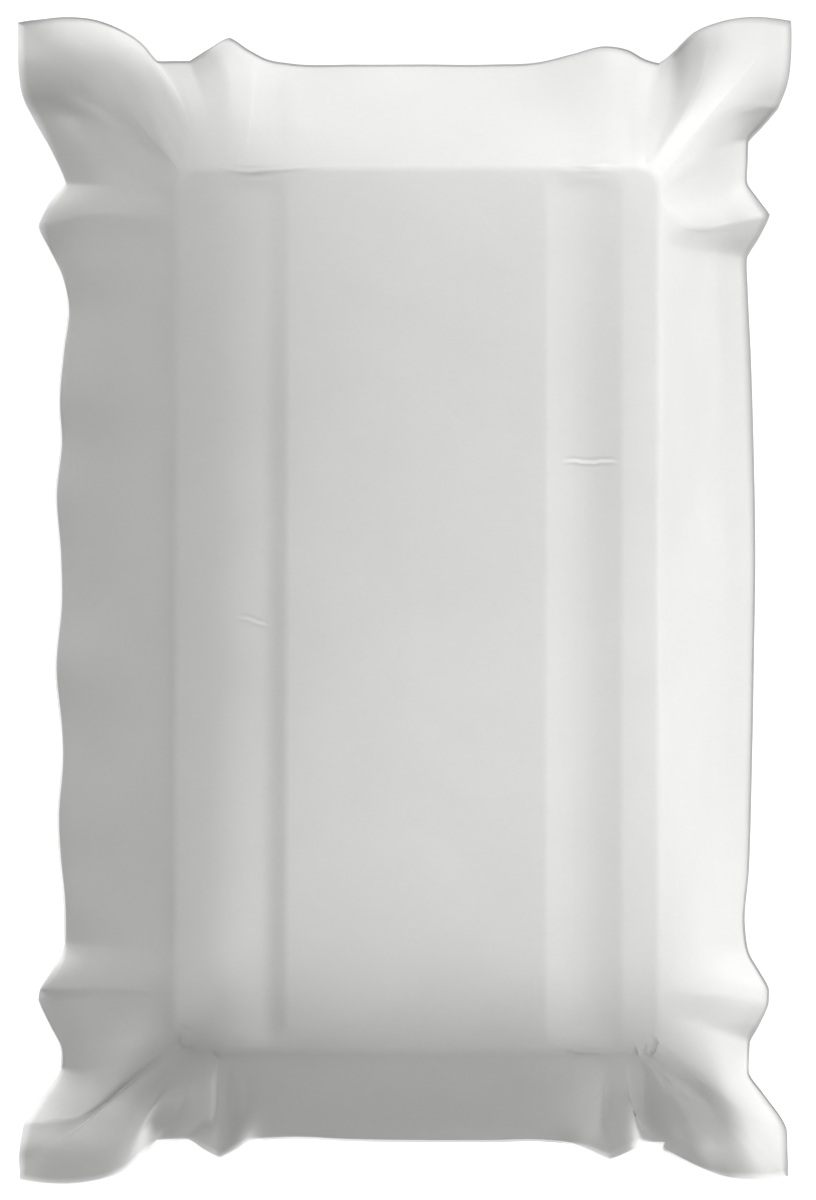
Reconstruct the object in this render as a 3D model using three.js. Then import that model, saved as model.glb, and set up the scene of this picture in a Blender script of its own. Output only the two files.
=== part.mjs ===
// A pressed paperboard food tray: one folded sheet with four sloping walls, four corner ears, eight
// small wall pleats and two shallow ribs along the floor. Millimetres, +Z up, +Y the long way.
// The origin is the centre of the outline, on the plane the tray rests on.
import * as THREE from "three";

// ---- driving dimensions
const THICKNESS = 0.5; // paperboard
const FLOOR_X = [-45.34, 47.08]; // edges of the floor, upper face of the sheet
const FLOOR_Y = [-85.02, 83.39];
const FLOOR_CORNER = 5; // radius of the floor's corners, in plan
const BEND = 1.2; // length either side of the floor's edge taken up by the bend into the wall
const GRID_INSET = 5.5; // the floor's inner mesh stops this far inside its edge
const WALL_ROWS = [0.14, 0.26, 0.38, 0.5, 0.62, 0.74, 0.87, 1]; // where the wall is sampled, edge to rim
const RIM_STEP = 5.0; // longest step along the rim

const LEVELS = [0.2, 0.4, 0.6, 0.8]; // shares of the way from the floor's edge to the rim
const LEVEL_WIDTH = 0.14;

// ribs: plan position across the tray and height of the sheet above the floor
const RIB_LEFT = [[-38.5, 0], [-36.9, 0.2], [-35.1, 0.62], [-33.2, 1.17], [-31.2, 1.63], [-29.3, 1.92], [-28.1, 1.96], [-27.2, 1.78], [-26.1, 1.28], [-24.8, 0.5], [-23.9, 0]];
const RIB_RIGHT = [[25.3, 0], [26.2, 0.28], [27.4, 0.68], [28.7, 1.06], [30.3, 1.38], [32.0, 1.56], [33.5, 1.5], [35.6, 1.2], [37.3, 0.86], [38.8, 0.48], [40.0, 0]];
// towards the +Y end wall the ribs sink to these shares of their height, starting from these y
const RIB_LEFT_FADE = [25, 0.45];
const RIB_RIGHT_FADE = [30, 0.6];

// control lines from the floor's edge up to the rim, clockwise seen from above from the upper left ear:
// rim x, y, z | floor edge x, y | crease at the rim, crease at the edge (0 smooth, 1 sharp)
// | sideways bow x, y at one third, x, y at two thirds | height above the straight line at each of LEVELS
const LINES = [
  [-72.4, 108.26, 27.88, -43.87, 81.92, 0.9, 0, 0.49, 0.89, 1.29, 1.46, 0.25, 0.05, -0.36, -0.53],
  [-71.69, 108.49, 27.46, -43.86, 81.94, 0, 0, 0.53, 0.78, 1.48, 1.26, 0.11, -0.18, -0.61, -0.64],
  [-68.11, 109.03, 25.82, -43.75, 82.04, 0, 0, 0.46, 0.52, 1.48, 0.8, -0.08, -0.59, -1.13, -0.77],
  [-62.93, 109.39, 24.83, -43.64, 82.14, 0, 0, 0.39, 0.87, 0.49, 0.66, 0.19, -0.62, -1.47, -0.85],
  [-57.7, 108.68, 24.14, -43.43, 82.32, 0, 0, 0.36, 1.17, -0.33, 1.36, 0.47, -0.22, -1.52, -0.68],
  [-55.49, 107.91, 23.6, -43.27, 82.44, 0, 0, 0.5, 1.19, 0.02, 1.37, 0.16, -0.31, -1.38, -1.06],
  [-53.21, 106.82, 23.6, -43.08, 82.57, 0, 0, 0.72, 1.18, 0.32, 1.28, -0.28, -0.53, -1.24, -1.3],
  [-49.02, 103.74, 27.22, -42.73, 82.78, 0, 0, 0.99, 1.13, 0.52, 1.07, -0.82, -0.9, -1.15, -1.27],
  [-46.02, 100.45, 28.72, -42.15, 83.05, 0.5, 0, 1.18, 1.03, 0.59, 0.81, -1.16, -1.21, -1.02, -0.91],
  [-42.95, 100.57, 27.45, -40.78, 83.37, 0, 0, 0.41, 0.36, 0.42, 0.64, -1.38, -1.88, -1.56, -0.81],
  [-40.07, 100.69, 26.13, -38.49, 83.39, 0.9, 0.3, 0.92, -0.2, 0.26, 0.92, -1.41, -2.18, -1.55, -0.43],
  [-36.48, 103.31, 24.41, -37.92, 83.39, 0.2, 0.2, 0.62, -0.84, 2.26, 1.23, -1.06, -1.83, -1.06, 0.27],
  [-32.77, 105.13, 25.6, -36.57, 83.39, 0.4, 0, 1.22, -0.6, 0.79, 0.5, -1.08, -1.98, -1.08, 0.22],
  [-29.54, 103.13, 23.88, -33.13, 83.39, 0, 0, 0.18, -0.36, 0.87, 0.22, -0.72, -1.66, -1.03, -0.13],
  [-25.99, 101.27, 23.4, -29.69, 83.39, 0, 0, -1.42, -0.5, -0.71, 0.89, -0.52, -1.48, -0.86, 0],
  [-21.46, 100.4, 23.4, -24.51, 83.39, 0, 0, -2.67, -0.64, -1.93, 0.72, -0.41, -1.17, -0.85, -0.09],
  [-9.19, 100.11, 23.52, -11.11, 83.39, 0, 0, -1.05, -1.18, -0.2, 0.36, -0.63, -0.7, -0.37, 0.08],
  [3.21, 99.81, 25.61, 1.31, 83.39, 0, 0, -0.75, -0.41, -1.07, 0.58, -0.01, 0.26, 0.45, 0.54],
  [16.48, 99.54, 27.29, 14.67, 83.39, 0, 0, -0.41, -0.17, -0.53, -0.03, 0.17, 0.34, 0.46, 0.59],
  [25.91, 99.85, 28.18, 24.21, 83.39, 0, 0, -0.14, -0.79, -0.72, -0.07, 0.02, 0.27, 0.57, 0.52],
  [31.93, 101.26, 28.63, 30.86, 83.39, 0, 0, -0.25, -1.17, -0.05, -0.79, 0.16, 0.26, 0.19, 0.02],
  [38.15, 102.63, 29.44, 36.2, 83.39, 0, 0, 0.62, -0.85, 0.32, -0.92, 0.46, 0.66, 0.46, 0.18],
  [42.47, 101.8, 29.87, 39.81, 83.39, 0, 0, -0.66, -0.5, -0.21, -0.47, 0.75, 0.99, 0.57, 0.05],
  [45.41, 100.2, 28.9, 42.31, 83.38, 0, 0, -0.61, -0.3, -0.9, 0.3, 0.97, 1.46, 1.06, 0.35],
  [48.2, 99.47, 28.54, 44.33, 82.85, 0.6, 0, -0.45, 0.56, -0.73, -0.71, 0.42, 0.79, 0.28, -0.35],
  [51, 101.51, 28.63, 44.86, 82.54, 0, 0, 0.8, 1.71, 0.91, -1.57, 1.49, 1.3, 0.11, -0.11],
  [52.55, 103.54, 25.76, 45.05, 82.41, 0, 0, 1.32, 1.1, 2.38, -0.64, 0.74, 0.89, 0.16, -0.23],
  [54.22, 105.24, 25.23, 45.22, 82.28, 0, 0, 1.49, 0.86, 2.9, 0.92, 1, 1.24, 0.67, 0.1],
  [59.46, 107.53, 25.44, 45.53, 82.01, 0, 0, 1.23, 0.11, 0.94, 0.34, 0.68, 0.69, 0.09, -0.03],
  [65.5, 108.35, 26.89, 45.81, 81.72, 0, 0, 0.86, -0.26, -0.55, -0.29, 0.27, 0.25, -0.15, -0.06],
  [71.9, 107.52, 28.42, 46.11, 81.35, 0, 0, 0.1, -0.03, -0.07, -0.46, 0.01, 0.13, 0.81, 0.34],
  [72.65, 107.37, 28.51, 46.13, 81.32, 0.9, 0, 0.01, -0.02, -0.14, -0.36, -0.01, 0.14, 0.88, 0.44],
  [72.68, 106.65, 28.21, 46.16, 81.28, 0, 0, 0.01, 0.03, -0.2, -0.2, 0.03, 0.22, 0.96, 0.54],
  [72.57, 102.01, 26.19, 46.37, 80.96, 0, 0, -0.03, 0.55, -0.67, 1.1, 0.36, 0.6, 1.38, 1.23],
  [71.79, 96.13, 25.06, 46.56, 80.6, 0, 0, 0.19, 1.41, -1.47, 2.51, 0.61, 0.58, 0.88, 1.1],
  [70.11, 91.8, 25.34, 46.72, 80.25, 0.7, 0, 0.33, 1.96, -1.54, 3.29, 0.45, 0.14, -0.04, 0.3],
  [67.39, 88.2, 27.65, 46.85, 79.89, 0, 0, 0.57, 1.25, -1.16, 3.33, 0.1, -0.5, -1.29, -1.02],
  [64.61, 85.03, 30.53, 46.99, 79.33, 0.7, 0, 0.72, 0.71, -0.2, 1.22, -0.31, -0.86, -0.99, -1.14],
  [64.43, 80.81, 30.71, 47.08, 78.18, 0, 0, 0.33, 0.1, -0.42, 0.67, 0.36, -0.17, -0.34, -0.51],
  [64.4, 76.96, 29.91, 47.08, 77.22, 0.3, 0, 0.35, -0.54, -1.05, -0.78, 0.69, 0.19, 0.12, -0.02],
  [66.5, 74.05, 28.88, 47.08, 76.64, 0, 0, 0.19, -1.22, -1.78, -2.46, 0.92, 0.37, 0.59, 1.39],
  [68.64, 71.26, 28.62, 47.08, 76.06, 0.9, 0.5, 0.26, -2.11, -2.69, -1.9, 1.01, 0.76, 1.56, 2.3],
  [66.71, 67.26, 29.58, 47.08, 72.64, 0, 0, -0.28, -0.62, -2.27, -0.52, -0.31, -0.04, 0.82, 2.06],
  [64.43, 63.24, 30.83, 47.08, 69.22, 0.5, 0, -0.54, -0.43, -2.35, 0.06, -0.09, -0.15, -0.24, 1.55],
  [64.54, 57.05, 31.2, 47.08, 60.65, 0, 0, -0.37, -0.16, -2.36, -0.72, 0.39, 0.56, 0.61, 1.64],
  [65.09, 45.86, 31.2, 47.08, 48.27, 0, 0, -0.23, 0.04, -2.79, -0.18, 0.47, 0.51, 0.34, 1.74],
  [65.65, 27.23, 31.2, 47.08, 29.25, 0, 0, -0.75, 0.03, -2.41, 0.12, -0.12, 0.33, 1.99, 1.31],
  [65.91, 8.64, 30.74, 47.08, 10.26, 0, 0, -1.62, 0.14, -1.23, -0.35, -0.24, 0.35, 2.29, 1.69],
  [65.61, -11.8, 30.09, 47.08, -10.62, 0, 0, -1.18, 0.26, -1.02, 0.24, -0.23, 0.93, 2.02, 1.19],
  [65.21, -32.22, 29.42, 47.08, -31.47, 0, 0, 0.03, -0.02, -1.52, 0.11, -0.39, 0.18, 1.11, 0.92],
  [64.63, -50.79, 28.68, 47.08, -50.41, 0, 0, 0.03, 0.29, -1.31, 0.99, -1.16, -1.73, -0.44, 0.17],
  [63.82, -61.92, 27.02, 47.08, -61.76, 0, 0, 0.02, -0.41, -0.04, -0.18, -0.82, -1.97, -0.34, 0.09],
  [64.57, -66.37, 27.11, 47.08, -67.45, 0, 0, -0.06, -0.06, 0.63, 0.49, -0.93, -1.72, 0.03, 0.87],
  [66.6, -69.9, 26.68, 47.08, -70.84, 0, 0, 0.28, 0.13, -0.32, -0.02, -0.94, -1.91, -1.02, -0.65],
  [68.25, -72.87, 26.28, 47.08, -73.11, 0.5, 0, 0.22, -0.14, -0.47, 0.78, -1.08, -1.65, -0.57, -0.13],
  [68.15, -75.65, 26, 47.08, -74.99, 0.6, 0, -0.52, 0.85, 0.36, 0.47, -1.28, -1.82, -0.36, 0.59],
  [66.41, -79.55, 26.67, 47.08, -76.89, 0, 0, -0.61, -0.65, -0.47, 0.41, -1.06, -1.31, -0.57, -0.16],
  [64.79, -82.52, 28.26, 47.08, -79.16, 0.6, 0, -0.02, 0.16, 0.2, 0.33, -0.98, -1.34, -0.13, 0.12],
  [64.6, -85.67, 28.04, 47.04, -80.66, 0, 0, 0.13, 0.88, 0.39, -0.35, -0.99, -1.31, -0.56, 0.03],
  [64.62, -88.84, 26.13, 46.71, -81.91, 0.3, 0.3, 0.32, 1.81, -0.78, -0.14, -1.06, -1.8, -2.23, -1.21],
  [67.52, -92.73, 26.67, 46.27, -82.75, 0, 0, 1.53, 0.15, -2.64, -0.08, -0.34, -1.87, -3.19, -2.24],
  [71.63, -98.82, 27.57, 45.8, -83.36, 0.3, 0, 1.07, -0.01, -1.89, -0.58, -0.04, -1.6, -1.65, -0.03],
  [71.81, -103.08, 27.37, 45.27, -83.87, 0, 0, 0.54, 0.2, -0.81, 0.42, 0.23, -1.28, -0.54, 0.75],
  [71.94, -106.78, 27.87, 44.8, -84.22, 0, 0, -0.21, -0.22, -0.08, 1.28, 0.93, -0.32, 0.26, 0.7],
  [71.93, -107.51, 28.07, 44.76, -84.24, 0.9, 0, -0.2, -0.16, 0.09, 0.86, 1.08, 0.32, 0.76, 0.63],
  [71.17, -107.64, 27.68, 44.75, -84.25, 0, 0, -0.15, -0.14, 0.33, 0.49, 1.24, 1.2, 1.13, 0.64],
  [65.02, -108.18, 24.29, 44.14, -84.58, 0, 0, -0.82, 0.86, 0.77, 1.53, 1.67, 2.87, 2.44, 1.02],
  [62.41, -108.01, 24.12, 43.85, -84.7, 0, 0, -0.32, 1.24, -0.2, 1.73, 1.16, 2.46, 2.71, 1.1],
  [59.82, -107.54, 24.5, 43.5, -84.81, 0, 0, -0.06, 1.57, 0.44, 0.36, 0.87, 2.42, 2.88, 0.99],
  [55.69, -106, 23.58, 42.77, -84.97, 0, 0, 1.09, 1.7, 0.44, -0.85, 0.83, 2.18, 2.46, 1.17],
  [51.95, -104.16, 23.4, 42.2, -85.02, 0, 0, 1.88, 1.48, -0.69, -0.54, 0.57, 1.1, 0.85, 0.57],
  [49.34, -102.77, 23.45, 41.62, -85.02, 0.5, 0, 1.8, 0.97, -2.56, -0.51, 0.08, -0.39, -1.29, -2.12],
  [49.37, -101.25, 29.96, 41.04, -85.02, 1, 0.2, -1.21, 0.69, -2.2, -0.66, 1.06, 1.34, 1.03, 0.92],
  [47.22, -101.26, 29.76, 39.91, -85.02, 0, 0, -0.94, 0.81, -0.69, -0.48, 0.58, 1.23, 1.01, 0.69],
  [45.12, -101.2, 28.6, 38.39, -85.02, 1, 0.2, -0.27, 0.72, -0.39, 0.91, 0.29, 0.35, -0.19, -0.44],
  [43.52, -102.45, 26.24, 37.84, -85.02, 0, 0, -0.4, 0.73, -0.71, 3.43, 0.08, -0.59, -1.24, -0.99],
  [39, -104.36, 28.82, 36.51, -85.02, 0.5, 0.5, 0.74, 0.61, -0.74, 2.89, 0.93, 0.97, 0.94, 0.54],
  [35.05, -102.73, 27.98, 33.86, -85.02, 0, 0, 0.14, 0.74, 0.9, 1.48, -0.64, -0.76, 0.62, 0.64],
  [31.61, -101.46, 26.51, 30.44, -85.02, 0, 0, 0.59, -0.22, -0.45, -0.76, -0.54, -0.48, 0.42, 0.9],
  [27, -100.91, 27.4, 25.33, -85.02, 0, 0, -0.15, -1.07, -0.52, -1.54, -0.78, -1.51, -1.03, -0.78],
  [16.83, -101.01, 28.59, 14.88, -85.02, 0, 0, -0.15, -1.16, 0.23, -1.78, -0.49, -1.38, -2.11, -2.28],
  [3.82, -101.04, 29.13, 1.58, -85.02, 0, 0, 0.07, -0.87, -0.21, -1.8, -0.19, -0.75, -1.47, -1.86],
  [-9.22, -100.89, 29.48, -11.74, -85.02, 0, 0, -0.06, -0.52, -0.31, -1.03, -0.3, -0.91, -1.08, -1.24],
  [-21.38, -100.55, 29.33, -25.06, -85.02, 0, 0, 0.14, -0.83, 0.32, -0.08, -0.49, -1.02, -1.38, -1.37],
  [-26.03, -100.84, 29.65, -29.63, -85.02, 0, 0, 0.24, -0.89, 1.08, -0.47, -0.39, -0.54, 0.12, 0.34],
  [-30.23, -102.34, 24.87, -33.46, -85.02, 0, 0, 1.14, -0.39, -0.03, 1.68, -0.05, -0.75, -1.21, -0.74],
  [-34.06, -104.38, 25.86, -36.3, -85.02, 0.8, 0.2, -0.04, 0.84, 1.32, 1.42, 0.32, 1.08, 1.68, 0.63],
  [-36.6, -102.94, 28.65, -37.65, -85.02, 0, 0, -0.01, 0.12, 2.01, 1.55, -0.37, 0, 0.14, 0.77],
  [-39.43, -100.96, 30.37, -38.97, -85.02, 0.5, 0.5, -0.11, -0.74, 2.19, 0.63, -0.54, -0.68, -0.81, -1.49],
  [-42.43, -100.97, 30.28, -40.32, -85.02, 0, 0, 0.56, -0.79, 0.91, -0.58, -0.44, -0.07, 0.24, -0.64],
  [-45.42, -101.18, 29.45, -41.46, -84.89, 0.9, 0, 0.35, -0.88, 1.37, 0.13, -0.55, -1.22, -0.13, -0.58],
  [-47.12, -102.88, 28.45, -42, -84.74, 0.2, 0.2, 0.66, -0.88, -0.56, 1.65, -0.3, -1.77, -2.81, 2.01],
  [-52.86, -107.1, 23.9, -42.51, -84.53, 0, 0, -0.29, 0.45, -0.28, 0.83, 0.59, 1.05, 0.34, 0.14],
  [-55.47, -108.22, 24.16, -42.66, -84.45, 0, 0, -0.14, 0.55, -0.16, 0.66, 0.86, 1.46, 0.72, -0.15],
  [-57.99, -108.86, 25.1, -42.83, -84.36, 0, 0, 0.06, 0.5, 0.18, 0.62, 1.01, 1.49, 0.57, -0.37],
  [-63.39, -109.39, 27.12, -43.16, -84.15, 0, 0, 0.35, 0.38, 0.64, 0.1, 1.46, 1.66, 0.76, -0.35],
  [-70.49, -108.7, 28.3, -43.58, -83.83, 0, 0, 0.57, 0.45, -0.14, 0.2, 2, 2.88, 1.33, -0.24],
  [-71.26, -108.56, 28.16, -43.61, -83.8, 0.9, 0, 0.55, 0.54, 0.02, 0.12, 2.01, 2.98, 1.39, -0.1],
  [-71.37, -107.83, 27.45, -43.65, -83.77, 0, 0, 0.45, 0.61, 0.45, 0.03, 1.76, 2.66, 1.5, 0.01],
  [-71.84, -103.24, 23.6, -44.01, -83.41, 0, 0, 0.23, 0.56, 1.76, -1.9, 1.08, 2.51, 2.85, 1.58],
  [-71.01, -98.38, 23.6, -44.26, -83.12, 0.8, 0, 0.03, -0.07, 2.31, -3.15, 0.42, 1.3, 1.07, -0.04],
  [-67.15, -93.08, 27.6, -44.58, -82.67, 0, 0, -0.86, -1.15, 1.7, -3.62, 0.15, -0.25, -1.25, -1.97],
  [-63.02, -87.81, 30.9, -44.99, -81.85, 0.6, 0, -1.09, -0.17, 0.06, -2.19, -0.5, -1.58, -2.05, -1.39],
  [-63.43, -84.1, 28.38, -45.34, -80.11, 0, 0, 0.76, -0.05, -0.74, -0.23, -0.27, -0.42, -0.4, -0.18],
  [-65.44, -80.19, 28.16, -45.34, -78.21, 0, 0, 0.76, 0.35, -0.38, 0, 0.56, 0.33, -0.05, -0.47],
  [-68.03, -75.16, 26.32, -45.34, -75.18, 0.4, 0.4, 0.7, 0.57, 0.9, 0.09, 0.66, 0.11, -0.19, 0.02],
  [-68.09, -73.29, 23.6, -45.34, -74.21, 0.6, 0, 0.64, 0.42, 1.74, 0.37, 0.51, -0.02, -0.3, -0.1],
  [-65.29, -68.98, 23.46, -45.34, -70.43, 0, 0, -0.11, -0.37, 2.5, -0.26, 0.34, -0.64, -1.15, -1.14],
  [-62.99, -64.5, 27.1, -45.34, -65.66, 0.3, 0.3, 0.96, -0.22, -0.31, 0.01, -0.4, -0.52, -0.29, -0.45],
  [-63.04, -57.38, 26.1, -45.34, -57.13, 0, 0, 1.38, -0.5, -1.87, 0.36, 0.17, 0.83, 1.18, 0.78],
  [-63.73, -48.99, 27.64, -45.34, -48.56, 0, 0, 0.79, 0.02, -1.24, 0.01, 0.21, 0.37, 0.54, 0.45],
  [-64.16, -40.94, 27.44, -45.34, -40.39, 0, 0, 0.97, 0.13, -1.18, 0.13, -0.3, -0.24, 0.16, 0.61],
  [-63.4, -30.28, 27.85, -45.34, -29.56, 0, 0, 0.63, -0.31, -1.12, -0.07, -0.34, 0.03, 0.54, 0.51],
  [-63.49, -23.22, 29.7, -45.34, -22.31, 0, 0, 0.52, -0.04, -1.01, -0.33, -0.25, -0.12, -0.19, -0.26],
  [-64.65, -13.06, 28.14, -45.34, -12.03, 0, 0, 1, 0.24, -0.77, -0.02, -0.49, -0.47, -0.3, 0.02],
  [-63.51, -0.38, 29.37, -45.34, 0.93, 0, 0, 0.54, -0.1, -0.88, -0.79, -0.46, -0.31, 0.13, 0.42],
  [-63.68, 8.03, 29.82, -45.34, 9.5, 0, 0, 0.44, 0.36, 0.06, 0.19, -0.52, -0.99, -0.94, -0.85],
  [-64.54, 20.25, 29.29, -45.34, 21.9, 0, 0, 0.82, -0.03, -0.54, -0.44, -0.25, -0.13, 0.26, 0.33],
  [-63.62, 28.87, 29.37, -45.34, 30.69, 0, 0, 0.24, -0.06, 0, 0.02, -0.18, -0.31, -0.35, -0.39],
  [-64.2, 37.23, 27.88, -45.34, 39.09, 0, 0, 0.33, 0.05, -0.06, 0.04, -0.04, -0.21, -0.33, -0.43],
  [-63.49, 46.26, 27.75, -45.34, 48.26, 0, 0, -0.1, -0.01, -0.22, 0, 0.05, -0.01, 0.17, 0.18],
  [-62.53, 54.87, 28.19, -45.34, 57.05, 0, 0, -0.27, 0.04, 0.11, 0.35, -0.09, -0.13, -0.16, -0.46],
  [-63.72, 60.17, 27.83, -45.34, 65.47, 0, 0, 0.31, 0.14, 0.62, 0.01, -0.15, -0.54, -0.79, -0.71],
  [-65.65, 64.58, 29.18, -45.34, 70.07, 0, 0, 0.1, 0.05, -0.41, 0.23, 0.78, 0.99, 1.1, 0.74],
  [-68.47, 69.85, 27.16, -45.34, 74.08, 0.6, 0, -0.34, -0.18, 2.33, 1.74, 0.52, 0.31, 0.1, 0.24],
  [-66.29, 74.16, 27.27, -45.34, 76.76, 0, 0, 0.1, 0.19, 1.52, -0.18, 0.43, 0.51, 0.44, 0.13],
  [-62.97, 77.66, 29.9, -45.34, 78.3, 0.7, 0, -0.19, -0.25, 1.22, 0.57, 0.29, -0.23, -0.91, -1.08],
  [-65.62, 83.68, 30.06, -45.2, 79.57, 0, 0, 0.13, 0.47, 2.19, 0.74, 0.4, 0.5, 0.4, 0.3],
  [-68.93, 89.42, 29.38, -44.86, 80.53, 0, 0, 0.62, 0.69, 2.94, 3.45, 0.34, 0.79, 1.27, 2.5],
  [-71.92, 95.44, 25.98, -44.41, 81.29, 0, 0, 0.87, 1.43, 2.01, 3.13, 1.22, 1.16, 0.78, 0.98],
  [-72.68, 101.55, 25.41, -44.08, 81.71, 0, 0, 0.53, 1.15, 1.86, 2.19, 1.51, 1.06, 1.05, 0.25],
  [-72.44, 107.53, 27.65, -43.89, 81.91, 0, 0, 0.41, 0.94, 1.15, 1.65, 0.6, 0.34, -0.04, -0.44],
];

// ---- the floor's edge as a closed curve, measured clockwise from the middle of the upper left corner
const EDGE = [];
{
  const [x0, x1] = FLOOR_X, [y0, y1] = FLOOR_Y, r = FLOOR_CORNER;
  const arc = (cx, cy, a, b) => {
    for (let k = 0; k <= 60; k++) {
      const t = ((a + ((b - a) * k) / 60) * Math.PI) / 180;
      EDGE.push([cx + r * Math.cos(t), cy + r * Math.sin(t)]);
    }
  };
  arc(x0 + r, y1 - r, 135, 90);
  arc(x1 - r, y1 - r, 90, 0);
  arc(x1 - r, y0 + r, 0, -90);
  arc(x0 + r, y0 + r, -90, -180);
  arc(x0 + r, y1 - r, 180, 135);
}
const EDGE_AT = [0];
for (let i = 1; i < EDGE.length; i++)
  EDGE_AT.push(EDGE_AT[i - 1] + Math.hypot(EDGE[i][0] - EDGE[i - 1][0], EDGE[i][1] - EDGE[i - 1][1]));
const EDGE_LENGTH = EDGE_AT[EDGE_AT.length - 1];

function edgePoint(b) {
  b = ((b % EDGE_LENGTH) + EDGE_LENGTH) % EDGE_LENGTH;
  let i = 1;
  while (i < EDGE_AT.length - 1 && EDGE_AT[i] < b) i++;
  const w = (b - EDGE_AT[i - 1]) / (EDGE_AT[i] - EDGE_AT[i - 1] || 1);
  return [EDGE[i - 1][0] + w * (EDGE[i][0] - EDGE[i - 1][0]), EDGE[i - 1][1] + w * (EDGE[i][1] - EDGE[i - 1][1])];
}

// distance along the edge of the point nearest to x, y
function edgeDistance(x, y) {
  let best = 1e9, at = 0;
  for (let i = 1; i < EDGE.length; i++) {
    const [ax, ay] = EDGE[i - 1], dx = EDGE[i][0] - ax, dy = EDGE[i][1] - ay;
    const l2 = dx * dx + dy * dy;
    if (l2 < 1e-12) continue;
    const w = Math.min(1, Math.max(0, ((x - ax) * dx + (y - ay) * dy) / l2));
    const d = Math.hypot(x - ax - w * dx, y - ay - w * dy);
    if (d < best) { best = d; at = EDGE_AT[i - 1] + w * Math.sqrt(l2); }
  }
  return at;
}

// ---- the wall: cubic between the control lines along the rim, bowed sideways and in height up each of them
const COUNT = LINES.length;
const RIM_AT = [0];
for (let i = 0; i < COUNT; i++) {
  const a = LINES[i], b = LINES[(i + 1) % COUNT];
  RIM_AT.push(RIM_AT[i] + Math.hypot(b[0] - a[0], b[1] - a[1], b[2] - a[2]));
}
const BASE_AT = LINES.map((l) => edgeDistance(l[3], l[4]));
for (let i = 1; i < COUNT; i++) {
  while (BASE_AT[i] < BASE_AT[i - 1] - EDGE_LENGTH / 2) BASE_AT[i] += EDGE_LENGTH;
  if (BASE_AT[i] < BASE_AT[i - 1]) BASE_AT[i] = BASE_AT[i - 1] + 1e-3;
}
BASE_AT.push(BASE_AT[0] + EDGE_LENGTH);

function slopes(i, column, crease) {
  const a = LINES[(i + COUNT - 1) % COUNT][column], b = LINES[i][column], c = LINES[(i + 1) % COUNT][column];
  const before = i > 0 ? RIM_AT[i] - RIM_AT[i - 1] : RIM_AT[COUNT] - RIM_AT[COUNT - 1];
  const after = RIM_AT[i + 1] - RIM_AT[i];
  const sb = (b - a) / before, sa = (c - b) / after;
  const w = after / (after + before), smooth = sb * w + sa * (1 - w);
  return [(1 - crease) * smooth + crease * sb, (1 - crease) * smooth + crease * sa];
}
function along(i, s, column, creaseColumn) {
  const j = (i + 1) % COUNT, h = RIM_AT[i + 1] - RIM_AT[i];
  const m0 = slopes(i, column, creaseColumn < 0 ? 0 : LINES[i][creaseColumn])[1];
  const m1 = slopes(j, column, creaseColumn < 0 ? 0 : LINES[j][creaseColumn])[0];
  const s2 = s * s, s3 = s2 * s;
  return (2 * s3 - 3 * s2 + 1) * LINES[i][column] + (s3 - 2 * s2 + s) * h * m0
    + (3 * s2 - 2 * s3) * LINES[j][column] + (s3 - s2) * h * m1;
}
function wallPoint(i, s, t) {
  const b = edgePoint(BASE_AT[i] + s * (BASE_AT[i + 1] - BASE_AT[i]));
  const p = [b[0], b[1], 0];
  const low = 6.75 * t * (1 - t) ** 2, high = 6.75 * t * t * (1 - t);
  const out = p.map((v, k) => v * (1 - t) + (along(i, s, k, 5) * t + along(i, s, k, 6) * (1 - t)) * t);
  for (let k = 0; k < 2; k++) out[k] += low * along(i, s, 7 + k, -1) + high * along(i, s, 9 + k, -1);
  LEVELS.forEach((at, k) => {
    const share = (Math.exp(-(((t - at) / LEVEL_WIDTH) ** 2)) * t * (1 - t)) / (at * (1 - at));
    out[2] += share * along(i, s, 11 + k, 5);
  });
  return out;
}

function ribHeight(x, table) {
  if (x <= table[0][0] || x >= table[table.length - 1][0]) return 0;
  let i = 1;
  while (table[i][0] < x) i++;
  const w = (x - table[i - 1][0]) / (table[i][0] - table[i - 1][0]);
  return table[i - 1][1] + w * (table[i][1] - table[i - 1][1]);
}

function ribShare(y, [start, end]) {
  const w = Math.min(1, Math.max(0, (y - start) / (FLOOR_Y[1] - start)));
  return 1 - (1 - end) * w * w * (3 - 2 * w);
}

// ---- mesh of the upper face
const points = [];
const faces = [];
const add = (p) => points.push(p) - 1;

// rings: two on the floor side of the bend, two on the wall side, then the wall rows up to the rim
const stations = [];
for (let i = 0; i < COUNT; i++) {
  const n = Math.max(1, Math.ceil((RIM_AT[i + 1] - RIM_AT[i]) / RIM_STEP));
  const longSide = Math.min(Math.abs(LINES[i][0] - LINES[(i + 1) % COUNT][0]), Math.abs(LINES[i][1] - LINES[(i + 1) % COUNT][1])) < 1.2;
  const m = longSide ? Math.max(1, Math.ceil((RIM_AT[i + 1] - RIM_AT[i]) / (RIM_STEP * 2))) : n;
  for (let k = 0; k < m; k++) stations.push([i, k / m]);
}
const middle = [(FLOOR_X[0] + FLOOR_X[1]) / 2, (FLOOR_Y[0] + FLOOR_Y[1]) / 2];
function inward(b) {
  // towards the nearest point of the floor's outline shrunk by its corner radius
  const p = edgePoint(b);
  const d = [FLOOR_X, FLOOR_Y].map(([lo, hi], k) => Math.min(hi - FLOOR_CORNER, Math.max(lo + FLOOR_CORNER, p[k])) - p[k]);
  const l = Math.hypot(...d);
  return [d[0] / l, d[1] / l];
}
const rings = [];
const ringAt = stations.map(([i, s]) => BASE_AT[i] + s * (BASE_AT[i + 1] - BASE_AT[i]));
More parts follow.
